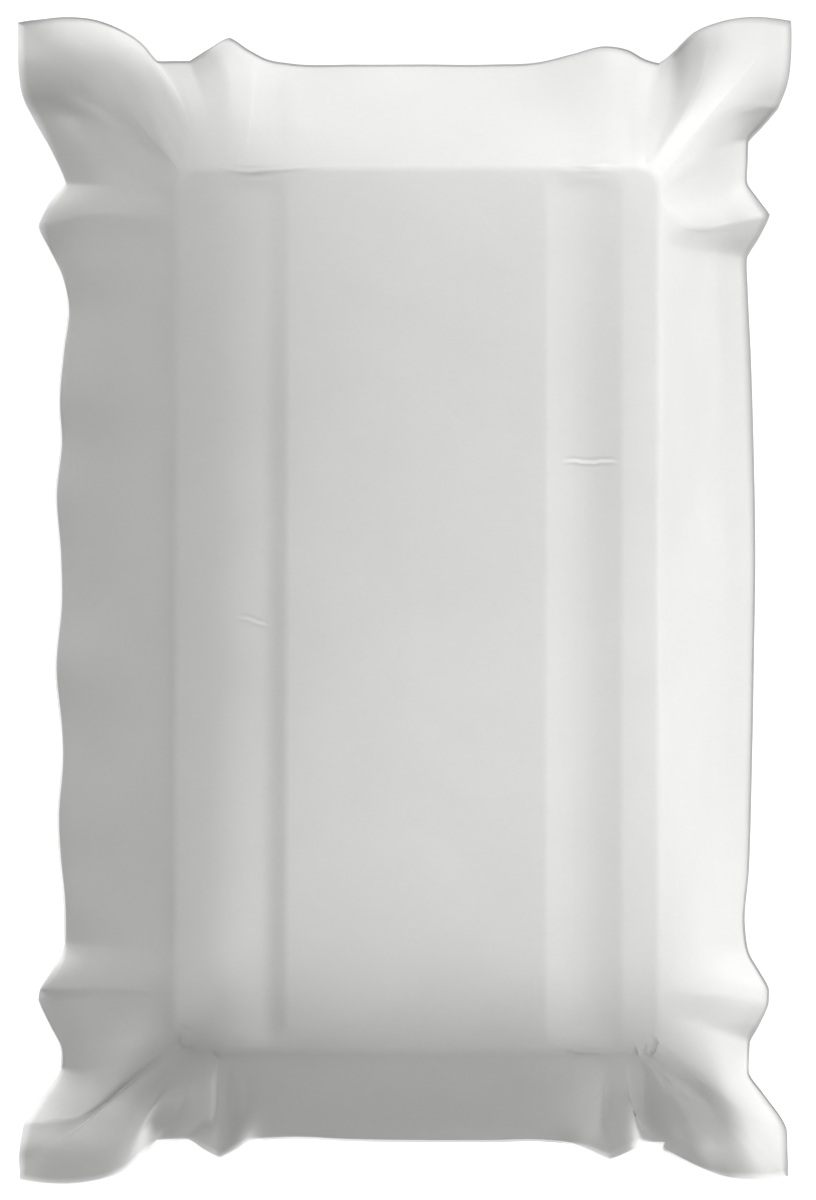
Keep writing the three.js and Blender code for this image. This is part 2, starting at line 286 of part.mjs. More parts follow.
const columns = stations.map(([i, s], n) => {
  const b = edgePoint(ringAt[n]), inn = inward(ringAt[n]);
  const rim = wallPoint(i, s, 1);
  const length = Math.hypot(rim[0] - b[0], rim[1] - b[1], rim[2]);
  const t = Math.min(0.12, BEND / length);
  const up = wallPoint(i, s, t);
  const from = [b[0] + inn[0] * BEND, b[1] + inn[1] * BEND, 0];
  const bend = (w) => [0, 1, 2].map((k) => from[k] * (1 - w) ** 2 + 2 * w * (1 - w) * (k < 2 ? b[k] : 0) + up[k] * w * w);
  return [from, bend(0.5), up, ...WALL_ROWS.map((r) => wallPoint(i, s, r))];
});
const ROWS = columns[0].length;
for (let r = 0; r < ROWS; r++) rings.push(columns.map((c) => add(c[r])));
const AROUND = stations.length;
for (let r = 0; r + 1 < ROWS; r++)
  for (let n = 0; n < AROUND; n++) {
    const m = (n + 1) % AROUND, a = rings[r][n], b = rings[r][m], c = rings[r + 1][m], d = rings[r + 1][n];
    // the shorter diagonal keeps the creases clean
    const long = (u, v) => Math.hypot(...[0, 1, 2].map((k) => points[u][k] - points[v][k]));
    if (long(a, c) < long(b, d)) faces.push([a, b, c], [a, c, d]);
    else faces.push([a, b, d], [b, c, d]);
  }

// ---- the floor inside the bend
const gx0 = FLOOR_X[0] + GRID_INSET, gx1 = FLOOR_X[1] - GRID_INSET;
const gy0 = FLOOR_Y[0] + GRID_INSET, gy1 = FLOOR_Y[1] - GRID_INSET;
const xs = [gx0, ...RIB_LEFT.map((p) => p[0]).filter((x) => x > gx0 + 0.3), -12, 0.6, 13, ...RIB_RIGHT.map((p) => p[0]).filter((x) => x < gx1 - 0.3), gx1];
const ys = [];
for (let k = 0; k <= 12; k++) ys.push(gy0 + ((gy1 - gy0) * k) / 12);
const grid = xs.map((x) => ys.map((y) => add([x, y, ribHeight(x, RIB_LEFT) * ribShare(y, RIB_LEFT_FADE) + ribHeight(x, RIB_RIGHT) * ribShare(y, RIB_RIGHT_FADE)])));
for (let i = 0; i + 1 < xs.length; i++)
  for (let j = 0; j + 1 < ys.length; j++)
    faces.push([grid[i][j], grid[i + 1][j], grid[i + 1][j + 1]], [grid[i][j], grid[i + 1][j + 1], grid[i][j + 1]]);
// its border, clockwise seen from above, joined to the innermost ring
const border = [];
for (let i = 0; i < xs.length; i++) border.push(grid[i][ys.length - 1]);
for (let j = ys.length - 2; j >= 0; j--) border.push(grid[xs.length - 1][j]);
for (let i = xs.length - 2; i >= 0; i--) border.push(grid[i][0]);
for (let j = 1; j < ys.length - 1; j++) border.push(grid[0][j]);
{
  const inner = rings[0];
  // the grid's own corners face the middle of the floor's corners
  const push = (v, lo, hi) => (v < lo + 1e-6 ? v - 9 : v > hi - 1e-6 ? v + 9 : v);
  const at = border.map((v) => {
    const [x, y] = points[v], corner = (x < gx0 + 1e-6 || x > gx1 - 1e-6) && (y < gy0 + 1e-6 || y > gy1 - 1e-6);
    return corner ? edgeDistance(push(x, gx0, gx1), push(y, gy0, gy1)) : edgeDistance(x, y);
  });
  for (let k = 1; k < at.length; k++) while (at[k] < at[k - 1] - EDGE_LENGTH / 2) at[k] += EDGE_LENGTH;
  const outAt = ringAt.map((b) => b);
  // start both loops at the same place: the first border point is the upper left corner of the grid
  let s0 = 0, bestGap = 1e9;
  outAt.forEach((b, n) => {
    const gap = Math.abs((((b - at[0]) % EDGE_LENGTH) + 1.5 * EDGE_LENGTH) % EDGE_LENGTH - EDGE_LENGTH / 2);
    if (gap < bestGap) { bestGap = gap; s0 = n; }
  });
  const O = [], I = [];
  for (let k = 0; k <= AROUND; k++) {
    const n = (s0 + k) % AROUND;
    let b = outAt[n] - outAt[s0];
    while (b < -1e-9) b += EDGE_LENGTH;
    O.push([inner[n], k === AROUND ? EDGE_LENGTH : b]);
  }
  for (let k = 0; k <= border.length; k++) {
    const q = k % border.length;
    I.push([border[q], k === border.length ? EDGE_LENGTH : at[q] - at[0]]);
  }
  let a = 0, c = 0;
  while (a < O.length - 1 || c < I.length - 1) {
    const goOuter = c === I.length - 1 || (a < O.length - 1 && O[a + 1][1] <= I[c + 1][1]);
    if (goOuter) { faces.push([O[a][0], I[c][0], O[a + 1][0]]); a++; }
    else { faces.push([O[a][0], I[c][0], I[c + 1][0]]); c++; }
  }
}

// ---- the sheet: the same mesh below, one thickness away along the face's normals, and the cut edge
const normals = points.map(() => [0, 0, 0]);
for (const f of faces) {
  const [a, b, c] = f.map((v) => points[v]);
  const u = [b[0] - a[0], b[1] - a[1], b[2] - a[2]], v = [c[0] - a[0], c[1] - a[1], c[2] - a[2]];
  const n = [u[1] * v[2] - u[2] * v[1], u[2] * v[0] - u[0] * v[2], u[0] * v[1] - u[1] * v[0]];
  const l = Math.hypot(...n) || 1;
  f.forEach((w, k) => {
    const p = points[f[(k + 1) % 3]], q = points[f[(k + 2) % 3]], o = points[w];
    const e = [p[0] - o[0], p[1] - o[1], p[2] - o[2]], g = [q[0] - o[0], q[1] - o[1], q[2] - o[2]];
    const angle = Math.acos(Math.min(1, Math.max(-1, (e[0] * g[0] + e[1] * g[1] + e[2] * g[2]) / (Math.hypot(...e) * Math.hypot(...g) || 1))));
    for (let d = 0; d < 3; d++) normals[w][d] += (n[d] / l) * angle;
  });
}
const top = points.length;
const all = [...points, ...points.map((p, i) => {
  const l = Math.hypot(...normals[i]) || 1;
  return p.map((v, k) => v - (normals[i][k] / l) * THICKNESS);
})];
const triangles = [];
for (const [a, b, c] of faces) triangles.push(a, b, c, a + top, c + top, b + top);
const rimRing = rings[ROWS - 1];
for (let n = 0; n < AROUND; n++) {
  const a = rimRing[n], b = rimRing[(n + 1) % AROUND];
  triangles.push(a, b, a + top, b, b + top, a + top);
}
// stand the underside of the floor on z = 0
const position = new Float32Array(all.length * 3);
all.forEach((p, i) => {
  position[3 * i] = p[0];
  position[3 * i + 1] = p[1];
  position[3 * i + 2] = p[2] + THICKNESS;
});

const geometry = new THREE.BufferGeometry();
geometry.setAttribute("position", new THREE.BufferAttribute(position, 3));
geometry.setIndex(triangles);
geometry.computeVertexNormals();

const tray = new THREE.Mesh(geometry, new THREE.MeshStandardMaterial({ color: 0xf2f1ee, roughness: 0.85, metalness: 0 }));
tray.name = "tray";

const group = new THREE.Group();
group.name = "paper_food_tray";
group.add(tray);
export default group;
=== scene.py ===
"""A pressed paperboard food tray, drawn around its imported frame. Metres, in the frame's own axes."""

import math

import bpy
import numpy as np
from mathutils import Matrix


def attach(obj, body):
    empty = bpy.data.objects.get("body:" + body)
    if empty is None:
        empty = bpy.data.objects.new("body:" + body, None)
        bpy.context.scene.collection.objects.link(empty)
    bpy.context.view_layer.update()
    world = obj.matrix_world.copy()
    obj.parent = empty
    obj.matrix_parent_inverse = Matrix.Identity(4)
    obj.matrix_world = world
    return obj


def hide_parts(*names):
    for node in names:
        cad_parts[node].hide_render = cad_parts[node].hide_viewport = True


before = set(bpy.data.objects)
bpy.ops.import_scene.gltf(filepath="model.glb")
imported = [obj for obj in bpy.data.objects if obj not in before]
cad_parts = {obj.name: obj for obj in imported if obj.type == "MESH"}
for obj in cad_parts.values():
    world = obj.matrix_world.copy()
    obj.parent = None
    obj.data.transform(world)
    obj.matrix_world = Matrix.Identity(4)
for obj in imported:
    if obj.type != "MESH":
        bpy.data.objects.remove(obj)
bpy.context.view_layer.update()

# ---------------------------------------------------------------- the sheet's shape, millimetres
THICKNESS = 0.5
FLOOR_X = (-45.34, 47.08)
FLOOR_Y = (-85.02, 83.39)
FLOOR_CORNER = 5.0
BEND = 1.1
LEVELS = (0.2, 0.4, 0.6, 0.8)
LEVEL_WIDTH = 0.14

# control lines from the floor's edge up to the rim, clockwise seen from above from the upper left ear:
# rim x, y, z | floor edge x, y | crease at the rim, crease at the edge
# | sideways bow x, y at one third, x, y at two thirds | height above the straight line at each of LEVELS
LINES = np.array([
    [-72.4, 108.26, 27.88, -43.87, 81.92, 0.9, 0, 0.49, 0.89, 1.29, 1.46, 0.25, 0.05, -0.36, -0.53],
    [-71.69, 108.49, 27.46, -43.86, 81.94, 0, 0, 0.53, 0.78, 1.48, 1.26, 0.11, -0.18, -0.61, -0.64],
    [-68.11, 109.03, 25.82, -43.75, 82.04, 0, 0, 0.46, 0.52, 1.48, 0.8, -0.08, -0.59, -1.13, -0.77],
    [-62.93, 109.39, 24.83, -43.64, 82.14, 0, 0, 0.39, 0.87, 0.49, 0.66, 0.19, -0.62, -1.47, -0.85],
    [-57.7, 108.68, 24.14, -43.43, 82.32, 0, 0, 0.36, 1.17, -0.33, 1.36, 0.47, -0.22, -1.52, -0.68],
    [-55.49, 107.91, 23.6, -43.27, 82.44, 0, 0, 0.5, 1.19, 0.02, 1.37, 0.16, -0.31, -1.38, -1.06],
    [-53.21, 106.82, 23.6, -43.08, 82.57, 0, 0, 0.72, 1.18, 0.32, 1.28, -0.28, -0.53, -1.24, -1.3],
    [-49.02, 103.74, 27.22, -42.73, 82.78, 0, 0, 0.99, 1.13, 0.52, 1.07, -0.82, -0.9, -1.15, -1.27],
    [-46.02, 100.45, 28.72, -42.15, 83.05, 0.5, 0, 1.18, 1.03, 0.59, 0.81, -1.16, -1.21, -1.02, -0.91],
    [-42.95, 100.57, 27.45, -40.78, 83.37, 0, 0, 0.41, 0.36, 0.42, 0.64, -1.38, -1.88, -1.56, -0.81],
    [-40.07, 100.69, 26.13, -38.49, 83.39, 0.9, 0.3, 0.92, -0.2, 0.26, 0.92, -1.41, -2.18, -1.55, -0.43],
    [-36.48, 103.31, 24.41, -37.92, 83.39, 0.2, 0.2, 0.62, -0.84, 2.26, 1.23, -1.06, -1.83, -1.06, 0.27],
    [-32.77, 105.13, 25.6, -36.57, 83.39, 0.4, 0, 1.22, -0.6, 0.79, 0.5, -1.08, -1.98, -1.08, 0.22],
    [-29.54, 103.13, 23.88, -33.13, 83.39, 0, 0, 0.18, -0.36, 0.87, 0.22, -0.72, -1.66, -1.03, -0.13],
    [-25.99, 101.27, 23.4, -29.69, 83.39, 0, 0, -1.42, -0.5, -0.71, 0.89, -0.52, -1.48, -0.86, 0],
    [-21.46, 100.4, 23.4, -24.51, 83.39, 0, 0, -2.67, -0.64, -1.93, 0.72, -0.41, -1.17, -0.85, -0.09],
    [-9.19, 100.11, 23.52, -11.11, 83.39, 0, 0, -1.05, -1.18, -0.2, 0.36, -0.63, -0.7, -0.37, 0.08],
    [3.21, 99.81, 25.61, 1.31, 83.39, 0, 0, -0.75, -0.41, -1.07, 0.58, -0.01, 0.26, 0.45, 0.54],
    [16.48, 99.54, 27.29, 14.67, 83.39, 0, 0, -0.41, -0.17, -0.53, -0.03, 0.17, 0.34, 0.46, 0.59],
    [25.91, 99.85, 28.18, 24.21, 83.39, 0, 0, -0.14, -0.79, -0.72, -0.07, 0.02, 0.27, 0.57, 0.52],
    [31.93, 101.26, 28.63, 30.86, 83.39, 0, 0, -0.25, -1.17, -0.05, -0.79, 0.16, 0.26, 0.19, 0.02],
    [38.15, 102.63, 29.44, 36.2, 83.39, 0, 0, 0.62, -0.85, 0.32, -0.92, 0.46, 0.66, 0.46, 0.18],
    [42.47, 101.8, 29.87, 39.81, 83.39, 0, 0, -0.66, -0.5, -0.21, -0.47, 0.75, 0.99, 0.57, 0.05],
    [45.41, 100.2, 28.9, 42.31, 83.38, 0, 0, -0.61, -0.3, -0.9, 0.3, 0.97, 1.46, 1.06, 0.35],
    [48.2, 99.47, 28.54, 44.33, 82.85, 0.6, 0, -0.45, 0.56, -0.73, -0.71, 0.42, 0.79, 0.28, -0.35],
    [51, 101.51, 28.63, 44.86, 82.54, 0, 0, 0.8, 1.71, 0.91, -1.57, 1.49, 1.3, 0.11, -0.11],
    [52.55, 103.54, 25.76, 45.05, 82.41, 0, 0, 1.32, 1.1, 2.38, -0.64, 0.74, 0.89, 0.16, -0.23],
    [54.22, 105.24, 25.23, 45.22, 82.28, 0, 0, 1.49, 0.86, 2.9, 0.92, 1, 1.24, 0.67, 0.1],
    [59.46, 107.53, 25.44, 45.53, 82.01, 0, 0, 1.23, 0.11, 0.94, 0.34, 0.68, 0.69, 0.09, -0.03],
    [65.5, 108.35, 26.89, 45.81, 81.72, 0, 0, 0.86, -0.26, -0.55, -0.29, 0.27, 0.25, -0.15, -0.06],
    [71.9, 107.52, 28.42, 46.11, 81.35, 0, 0, 0.1, -0.03, -0.07, -0.46, 0.01, 0.13, 0.81, 0.34],
    [72.65, 107.37, 28.51, 46.13, 81.32, 0.9, 0, 0.01, -0.02, -0.14, -0.36, -0.01, 0.14, 0.88, 0.44],
    [72.68, 106.65, 28.21, 46.16, 81.28, 0, 0, 0.01, 0.03, -0.2, -0.2, 0.03, 0.22, 0.96, 0.54],
    [72.57, 102.01, 26.19, 46.37, 80.96, 0, 0, -0.03, 0.55, -0.67, 1.1, 0.36, 0.6, 1.38, 1.23],
    [71.79, 96.13, 25.06, 46.56, 80.6, 0, 0, 0.19, 1.41, -1.47, 2.51, 0.61, 0.58, 0.88, 1.1],
    [70.11, 91.8, 25.34, 46.72, 80.25, 0.7, 0, 0.33, 1.96, -1.54, 3.29, 0.45, 0.14, -0.04, 0.3],
    [67.39, 88.2, 27.65, 46.85, 79.89, 0, 0, 0.57, 1.25, -1.16, 3.33, 0.1, -0.5, -1.29, -1.02],
    [64.61, 85.03, 30.53, 46.99, 79.33, 0.7, 0, 0.72, 0.71, -0.2, 1.22, -0.31, -0.86, -0.99, -1.14],
    [64.43, 80.81, 30.71, 47.08, 78.18, 0, 0, 0.33, 0.1, -0.42, 0.67, 0.36, -0.17, -0.34, -0.51],
    [64.4, 76.96, 29.91, 47.08, 77.22, 0.3, 0, 0.35, -0.54, -1.05, -0.78, 0.69, 0.19, 0.12, -0.02],
    [66.5, 74.05, 28.88, 47.08, 76.64, 0, 0, 0.19, -1.22, -1.78, -2.46, 0.92, 0.37, 0.59, 1.39],
    [68.64, 71.26, 28.62, 47.08, 76.06, 0.9, 0.5, 0.26, -2.11, -2.69, -1.9, 1.01, 0.76, 1.56, 2.3],
    [66.71, 67.26, 29.58, 47.08, 72.64, 0, 0, -0.28, -0.62, -2.27, -0.52, -0.31, -0.04, 0.82, 2.06],
    [64.43, 63.24, 30.83, 47.08, 69.22, 0.5, 0, -0.54, -0.43, -2.35, 0.06, -0.09, -0.15, -0.24, 1.55],
    [64.54, 57.05, 31.2, 47.08, 60.65, 0, 0, -0.37, -0.16, -2.36, -0.72, 0.39, 0.56, 0.61, 1.64],
    [65.09, 45.86, 31.2, 47.08, 48.27, 0, 0, -0.23, 0.04, -2.79, -0.18, 0.47, 0.51, 0.34, 1.74],
    [65.65, 27.23, 31.2, 47.08, 29.25, 0, 0, -0.75, 0.03, -2.41, 0.12, -0.12, 0.33, 1.99, 1.31],
    [65.91, 8.64, 30.74, 47.08, 10.26, 0, 0, -1.62, 0.14, -1.23, -0.35, -0.24, 0.35, 2.29, 1.69],
    [65.61, -11.8, 30.09, 47.08, -10.62, 0, 0, -1.18, 0.26, -1.02, 0.24, -0.23, 0.93, 2.02, 1.19],
    [65.21, -32.22, 29.42, 47.08, -31.47, 0, 0, 0.03, -0.02, -1.52, 0.11, -0.39, 0.18, 1.11, 0.92],
    [64.63, -50.79, 28.68, 47.08, -50.41, 0, 0, 0.03, 0.29, -1.31, 0.99, -1.16, -1.73, -0.44, 0.17],
    [63.82, -61.92, 27.02, 47.08, -61.76, 0, 0, 0.02, -0.41, -0.04, -0.18, -0.82, -1.97, -0.34, 0.09],
    [64.57, -66.37, 27.11, 47.08, -67.45, 0, 0, -0.06, -0.06, 0.63, 0.49, -0.93, -1.72, 0.03, 0.87],
    [66.6, -69.9, 26.68, 47.08, -70.84, 0, 0, 0.28, 0.13, -0.32, -0.02, -0.94, -1.91, -1.02, -0.65],
    [68.25, -72.87, 26.28, 47.08, -73.11, 0.5, 0, 0.22, -0.14, -0.47, 0.78, -1.08, -1.65, -0.57, -0.13],
    [68.15, -75.65, 26, 47.08, -74.99, 0.6, 0, -0.52, 0.85, 0.36, 0.47, -1.28, -1.82, -0.36, 0.59],
    [66.41, -79.55, 26.67, 47.08, -76.89, 0, 0, -0.61, -0.65, -0.47, 0.41, -1.06, -1.31, -0.57, -0.16],
    [64.79, -82.52, 28.26, 47.08, -79.16, 0.6, 0, -0.02, 0.16, 0.2, 0.33, -0.98, -1.34, -0.13, 0.12],
    [64.6, -85.67, 28.04, 47.04, -80.66, 0, 0, 0.13, 0.88, 0.39, -0.35, -0.99, -1.31, -0.56, 0.03],
    [64.62, -88.84, 26.13, 46.71, -81.91, 0.3, 0.3, 0.32, 1.81, -0.78, -0.14, -1.06, -1.8, -2.23, -1.21],
    [67.52, -92.73, 26.67, 46.27, -82.75, 0, 0, 1.53, 0.15, -2.64, -0.08, -0.34, -1.87, -3.19, -2.24],
    [71.63, -98.82, 27.57, 45.8, -83.36, 0.3, 0, 1.07, -0.01, -1.89, -0.58, -0.04, -1.6, -1.65, -0.03],
    [71.81, -103.08, 27.37, 45.27, -83.87, 0, 0, 0.54, 0.2, -0.81, 0.42, 0.23, -1.28, -0.54, 0.75],
    [71.94, -106.78, 27.87, 44.8, -84.22, 0, 0, -0.21, -0.22, -0.08, 1.28, 0.93, -0.32, 0.26, 0.7],
    [71.93, -107.51, 28.07, 44.76, -84.24, 0.9, 0, -0.2, -0.16, 0.09, 0.86, 1.08, 0.32, 0.76, 0.63],
    [71.17, -107.64, 27.68, 44.75, -84.25, 0, 0, -0.15, -0.14, 0.33, 0.49, 1.24, 1.2, 1.13, 0.64],
    [65.02, -108.18, 24.29, 44.14, -84.58, 0, 0, -0.82, 0.86, 0.77, 1.53, 1.67, 2.87, 2.44, 1.02],
    [62.41, -108.01, 24.12, 43.85, -84.7, 0, 0, -0.32, 1.24, -0.2, 1.73, 1.16, 2.46, 2.71, 1.1],
    [59.82, -107.54, 24.5, 43.5, -84.81, 0, 0, -0.06, 1.57, 0.44, 0.36, 0.87, 2.42, 2.88, 0.99],
    [55.69, -106, 23.58, 42.77, -84.97, 0, 0, 1.09, 1.7, 0.44, -0.85, 0.83, 2.18, 2.46, 1.17],
    [51.95, -104.16, 23.4, 42.2, -85.02, 0, 0, 1.88, 1.48, -0.69, -0.54, 0.57, 1.1, 0.85, 0.57],
    [49.34, -102.77, 23.45, 41.62, -85.02, 0.5, 0, 1.8, 0.97, -2.56, -0.51, 0.08, -0.39, -1.29, -2.12],
    [49.37, -101.25, 29.96, 41.04, -85.02, 1, 0.2, -1.21, 0.69, -2.2, -0.66, 1.06, 1.34, 1.03, 0.92],
    [47.22, -101.26, 29.76, 39.91, -85.02, 0, 0, -0.94, 0.81, -0.69, -0.48, 0.58, 1.23, 1.01, 0.69],
    [45.12, -101.2, 28.6, 38.39, -85.02, 1, 0.2, -0.27, 0.72, -0.39, 0.91, 0.29, 0.35, -0.19, -0.44],
    [43.52, -102.45, 26.24, 37.84, -85.02, 0, 0, -0.4, 0.73, -0.71, 3.43, 0.08, -0.59, -1.24, -0.99],
    [39, -104.36, 28.82, 36.51, -85.02, 0.5, 0.5, 0.74, 0.61, -0.74, 2.89, 0.93, 0.97, 0.94, 0.54],
    [35.05, -102.73, 27.98, 33.86, -85.02, 0, 0, 0.14, 0.74, 0.9, 1.48, -0.64, -0.76, 0.62, 0.64],
    [31.61, -101.46, 26.51, 30.44, -85.02, 0, 0, 0.59, -0.22, -0.45, -0.76, -0.54, -0.48, 0.42, 0.9],
    [27, -100.91, 27.4, 25.33, -85.02, 0, 0, -0.15, -1.07, -0.52, -1.54, -0.78, -1.51, -1.03, -0.78],
    [16.83, -101.01, 28.59, 14.88, -85.02, 0, 0, -0.15, -1.16, 0.23, -1.78, -0.49, -1.38, -2.11, -2.28],
    [3.82, -101.04, 29.13, 1.58, -85.02, 0, 0, 0.07, -0.87, -0.21, -1.8, -0.19, -0.75, -1.47, -1.86],
    [-9.22, -100.89, 29.48, -11.74, -85.02, 0, 0, -0.06, -0.52, -0.31, -1.03, -0.3, -0.91, -1.08, -1.24],
    [-21.38, -100.55, 29.33, -25.06, -85.02, 0, 0, 0.14, -0.83, 0.32, -0.08, -0.49, -1.02, -1.38, -1.37],
    [-26.03, -100.84, 29.65, -29.63, -85.02, 0, 0, 0.24, -0.89, 1.08, -0.47, -0.39, -0.54, 0.12, 0.34],
    [-30.23, -102.34, 24.87, -33.46, -85.02, 0, 0, 1.14, -0.39, -0.03, 1.68, -0.05, -0.75, -1.21, -0.74],
    [-34.06, -104.38, 25.86, -36.3, -85.02, 0.8, 0.2, -0.04, 0.84, 1.32, 1.42, 0.32, 1.08, 1.68, 0.63],
    [-36.6, -102.94, 28.65, -37.65, -85.02, 0, 0, -0.01, 0.12, 2.01, 1.55, -0.37, 0, 0.14, 0.77],
    [-39.43, -100.96, 30.37, -38.97, -85.02, 0.5, 0.5, -0.11, -0.74, 2.19, 0.63, -0.54, -0.68, -0.81, -1.49],
    [-42.43, -100.97, 30.28, -40.32, -85.02, 0, 0, 0.56, -0.79, 0.91, -0.58, -0.44, -0.07, 0.24, -0.64],
    [-45.42, -101.18, 29.45, -41.46, -84.89, 0.9, 0, 0.35, -0.88, 1.37, 0.13, -0.55, -1.22, -0.13, -0.58],
    [-47.12, -102.88, 28.45, -42, -84.74, 0.2, 0.2, 0.66, -0.88, -0.56, 1.65, -0.3, -1.77, -2.81, 2.01],
    [-52.86, -107.1, 23.9, -42.51, -84.53, 0, 0, -0.29, 0.45, -0.28, 0.83, 0.59, 1.05, 0.34, 0.14],
    [-55.47, -108.22, 24.16, -42.66, -84.45, 0, 0, -0.14, 0.55, -0.16, 0.66, 0.86, 1.46, 0.72, -0.15],
    [-57.99, -108.86, 25.1, -42.83, -84.36, 0, 0, 0.06, 0.5, 0.18, 0.62, 1.01, 1.49, 0.57, -0.37],
    [-63.39, -109.39, 27.12, -43.16, -84.15, 0, 0, 0.35, 0.38, 0.64, 0.1, 1.46, 1.66, 0.76, -0.35],
    [-70.49, -108.7, 28.3, -43.58, -83.83, 0, 0, 0.57, 0.45, -0.14, 0.2, 2, 2.88, 1.33, -0.24],
    [-71.26, -108.56, 28.16, -43.61, -83.8, 0.9, 0, 0.55, 0.54, 0.02, 0.12, 2.01, 2.98, 1.39, -0.1],
    [-71.37, -107.83, 27.45, -43.65, -83.77, 0, 0, 0.45, 0.61, 0.45, 0.03, 1.76, 2.66, 1.5, 0.01],
    [-71.84, -103.24, 23.6, -44.01, -83.41, 0, 0, 0.23, 0.56, 1.76, -1.9, 1.08, 2.51, 2.85, 1.58],
    [-71.01, -98.38, 23.6, -44.26, -83.12, 0.8, 0, 0.03, -0.07, 2.31, -3.15, 0.42, 1.3, 1.07, -0.04],
    [-67.15, -93.08, 27.6, -44.58, -82.67, 0, 0, -0.86, -1.15, 1.7, -3.62, 0.15, -0.25, -1.25, -1.97],
    [-63.02, -87.81, 30.9, -44.99, -81.85, 0.6, 0, -1.09, -0.17, 0.06, -2.19, -0.5, -1.58, -2.05, -1.39],
    [-63.43, -84.1, 28.38, -45.34, -80.11, 0, 0, 0.76, -0.05, -0.74, -0.23, -0.27, -0.42, -0.4, -0.18],
    [-65.44, -80.19, 28.16, -45.34, -78.21, 0, 0, 0.76, 0.35, -0.38, 0, 0.56, 0.33, -0.05, -0.47],
    [-68.03, -75.16, 26.32, -45.34, -75.18, 0.4, 0.4, 0.7, 0.57, 0.9, 0.09, 0.66, 0.11, -0.19, 0.02],
    [-68.09, -73.29, 23.6, -45.34, -74.21, 0.6, 0, 0.64, 0.42, 1.74, 0.37, 0.51, -0.02, -0.3, -0.1],
    [-65.29, -68.98, 23.46, -45.34, -70.43, 0, 0, -0.11, -0.37, 2.5, -0.26, 0.34, -0.64, -1.15, -1.14],
    [-62.99, -64.5, 27.1, -45.34, -65.66, 0.3, 0.3, 0.96, -0.22, -0.31, 0.01, -0.4, -0.52, -0.29, -0.45],
    [-63.04, -57.38, 26.1, -45.34, -57.13, 0, 0, 1.38, -0.5, -1.87, 0.36, 0.17, 0.83, 1.18, 0.78],
    [-63.73, -48.99, 27.64, -45.34, -48.56, 0, 0, 0.79, 0.02, -1.24, 0.01, 0.21, 0.37, 0.54, 0.45],
    [-64.16, -40.94, 27.44, -45.34, -40.39, 0, 0, 0.97, 0.13, -1.18, 0.13, -0.3, -0.24, 0.16, 0.61],
    [-63.4, -30.28, 27.85, -45.34, -29.56, 0, 0, 0.63, -0.31, -1.12, -0.07, -0.34, 0.03, 0.54, 0.51],
    [-63.49, -23.22, 29.7, -45.34, -22.31, 0, 0, 0.52, -0.04, -1.01, -0.33, -0.25, -0.12, -0.19, -0.26],
    [-64.65, -13.06, 28.14, -45.34, -12.03, 0, 0, 1, 0.24, -0.77, -0.02, -0.49, -0.47, -0.3, 0.02],
    [-63.51, -0.38, 29.37, -45.34, 0.93, 0, 0, 0.54, -0.1, -0.88, -0.79, -0.46, -0.31, 0.13, 0.42],
    [-63.68, 8.03, 29.82, -45.34, 9.5, 0, 0, 0.44, 0.36, 0.06, 0.19, -0.52, -0.99, -0.94, -0.85],
    [-64.54, 20.25, 29.29, -45.34, 21.9, 0, 0, 0.82, -0.03, -0.54, -0.44, -0.25, -0.13, 0.26, 0.33],
    [-63.62, 28.87, 29.37, -45.34, 30.69, 0, 0, 0.24, -0.06, 0, 0.02, -0.18, -0.31, -0.35, -0.39],
    [-64.2, 37.23, 27.88, -45.34, 39.09, 0, 0, 0.33, 0.05, -0.06, 0.04, -0.04, -0.21, -0.33, -0.43],
    [-63.49, 46.26, 27.75, -45.34, 48.26, 0, 0, -0.1, -0.01, -0.22, 0, 0.05, -0.01, 0.17, 0.18],
    [-62.53, 54.87, 28.19, -45.34, 57.05, 0, 0, -0.27, 0.04, 0.11, 0.35, -0.09, -0.13, -0.16, -0.46],
    [-63.72, 60.17, 27.83, -45.34, 65.47, 0, 0, 0.31, 0.14, 0.62, 0.01, -0.15, -0.54, -0.79, -0.71],
    [-65.65, 64.58, 29.18, -45.34, 70.07, 0, 0, 0.1, 0.05, -0.41, 0.23, 0.78, 0.99, 1.1, 0.74],
    [-68.47, 69.85, 27.16, -45.34, 74.08, 0.6, 0, -0.34, -0.18, 2.33, 1.74, 0.52, 0.31, 0.1, 0.24],
    [-66.29, 74.16, 27.27, -45.34, 76.76, 0, 0, 0.1, 0.19, 1.52, -0.18, 0.43, 0.51, 0.44, 0.13],
    [-62.97, 77.66, 29.9, -45.34, 78.3, 0.7, 0, -0.19, -0.25, 1.22, 0.57, 0.29, -0.23, -0.91, -1.08],
    [-65.62, 83.68, 30.06, -45.2, 79.57, 0, 0, 0.13, 0.47, 2.19, 0.74, 0.4, 0.5, 0.4, 0.3],
    [-68.93, 89.42, 29.38, -44.86, 80.53, 0, 0, 0.62, 0.69, 2.94, 3.45, 0.34, 0.79, 1.27, 2.5],
    [-71.92, 95.44, 25.98, -44.41, 81.29, 0, 0, 0.87, 1.43, 2.01, 3.13, 1.22, 1.16, 0.78, 0.98],
    [-72.68, 101.55, 25.41, -44.08, 81.71, 0, 0, 0.53, 1.15, 1.86, 2.19, 1.51, 1.06, 1.05, 0.25],
    [-72.44, 107.53, 27.65, -43.89, 81.91, 0, 0, 0.41, 0.94, 1.15, 1.65, 0.6, 0.34, -0.04, -0.44],
])
COUNT = len(LINES)


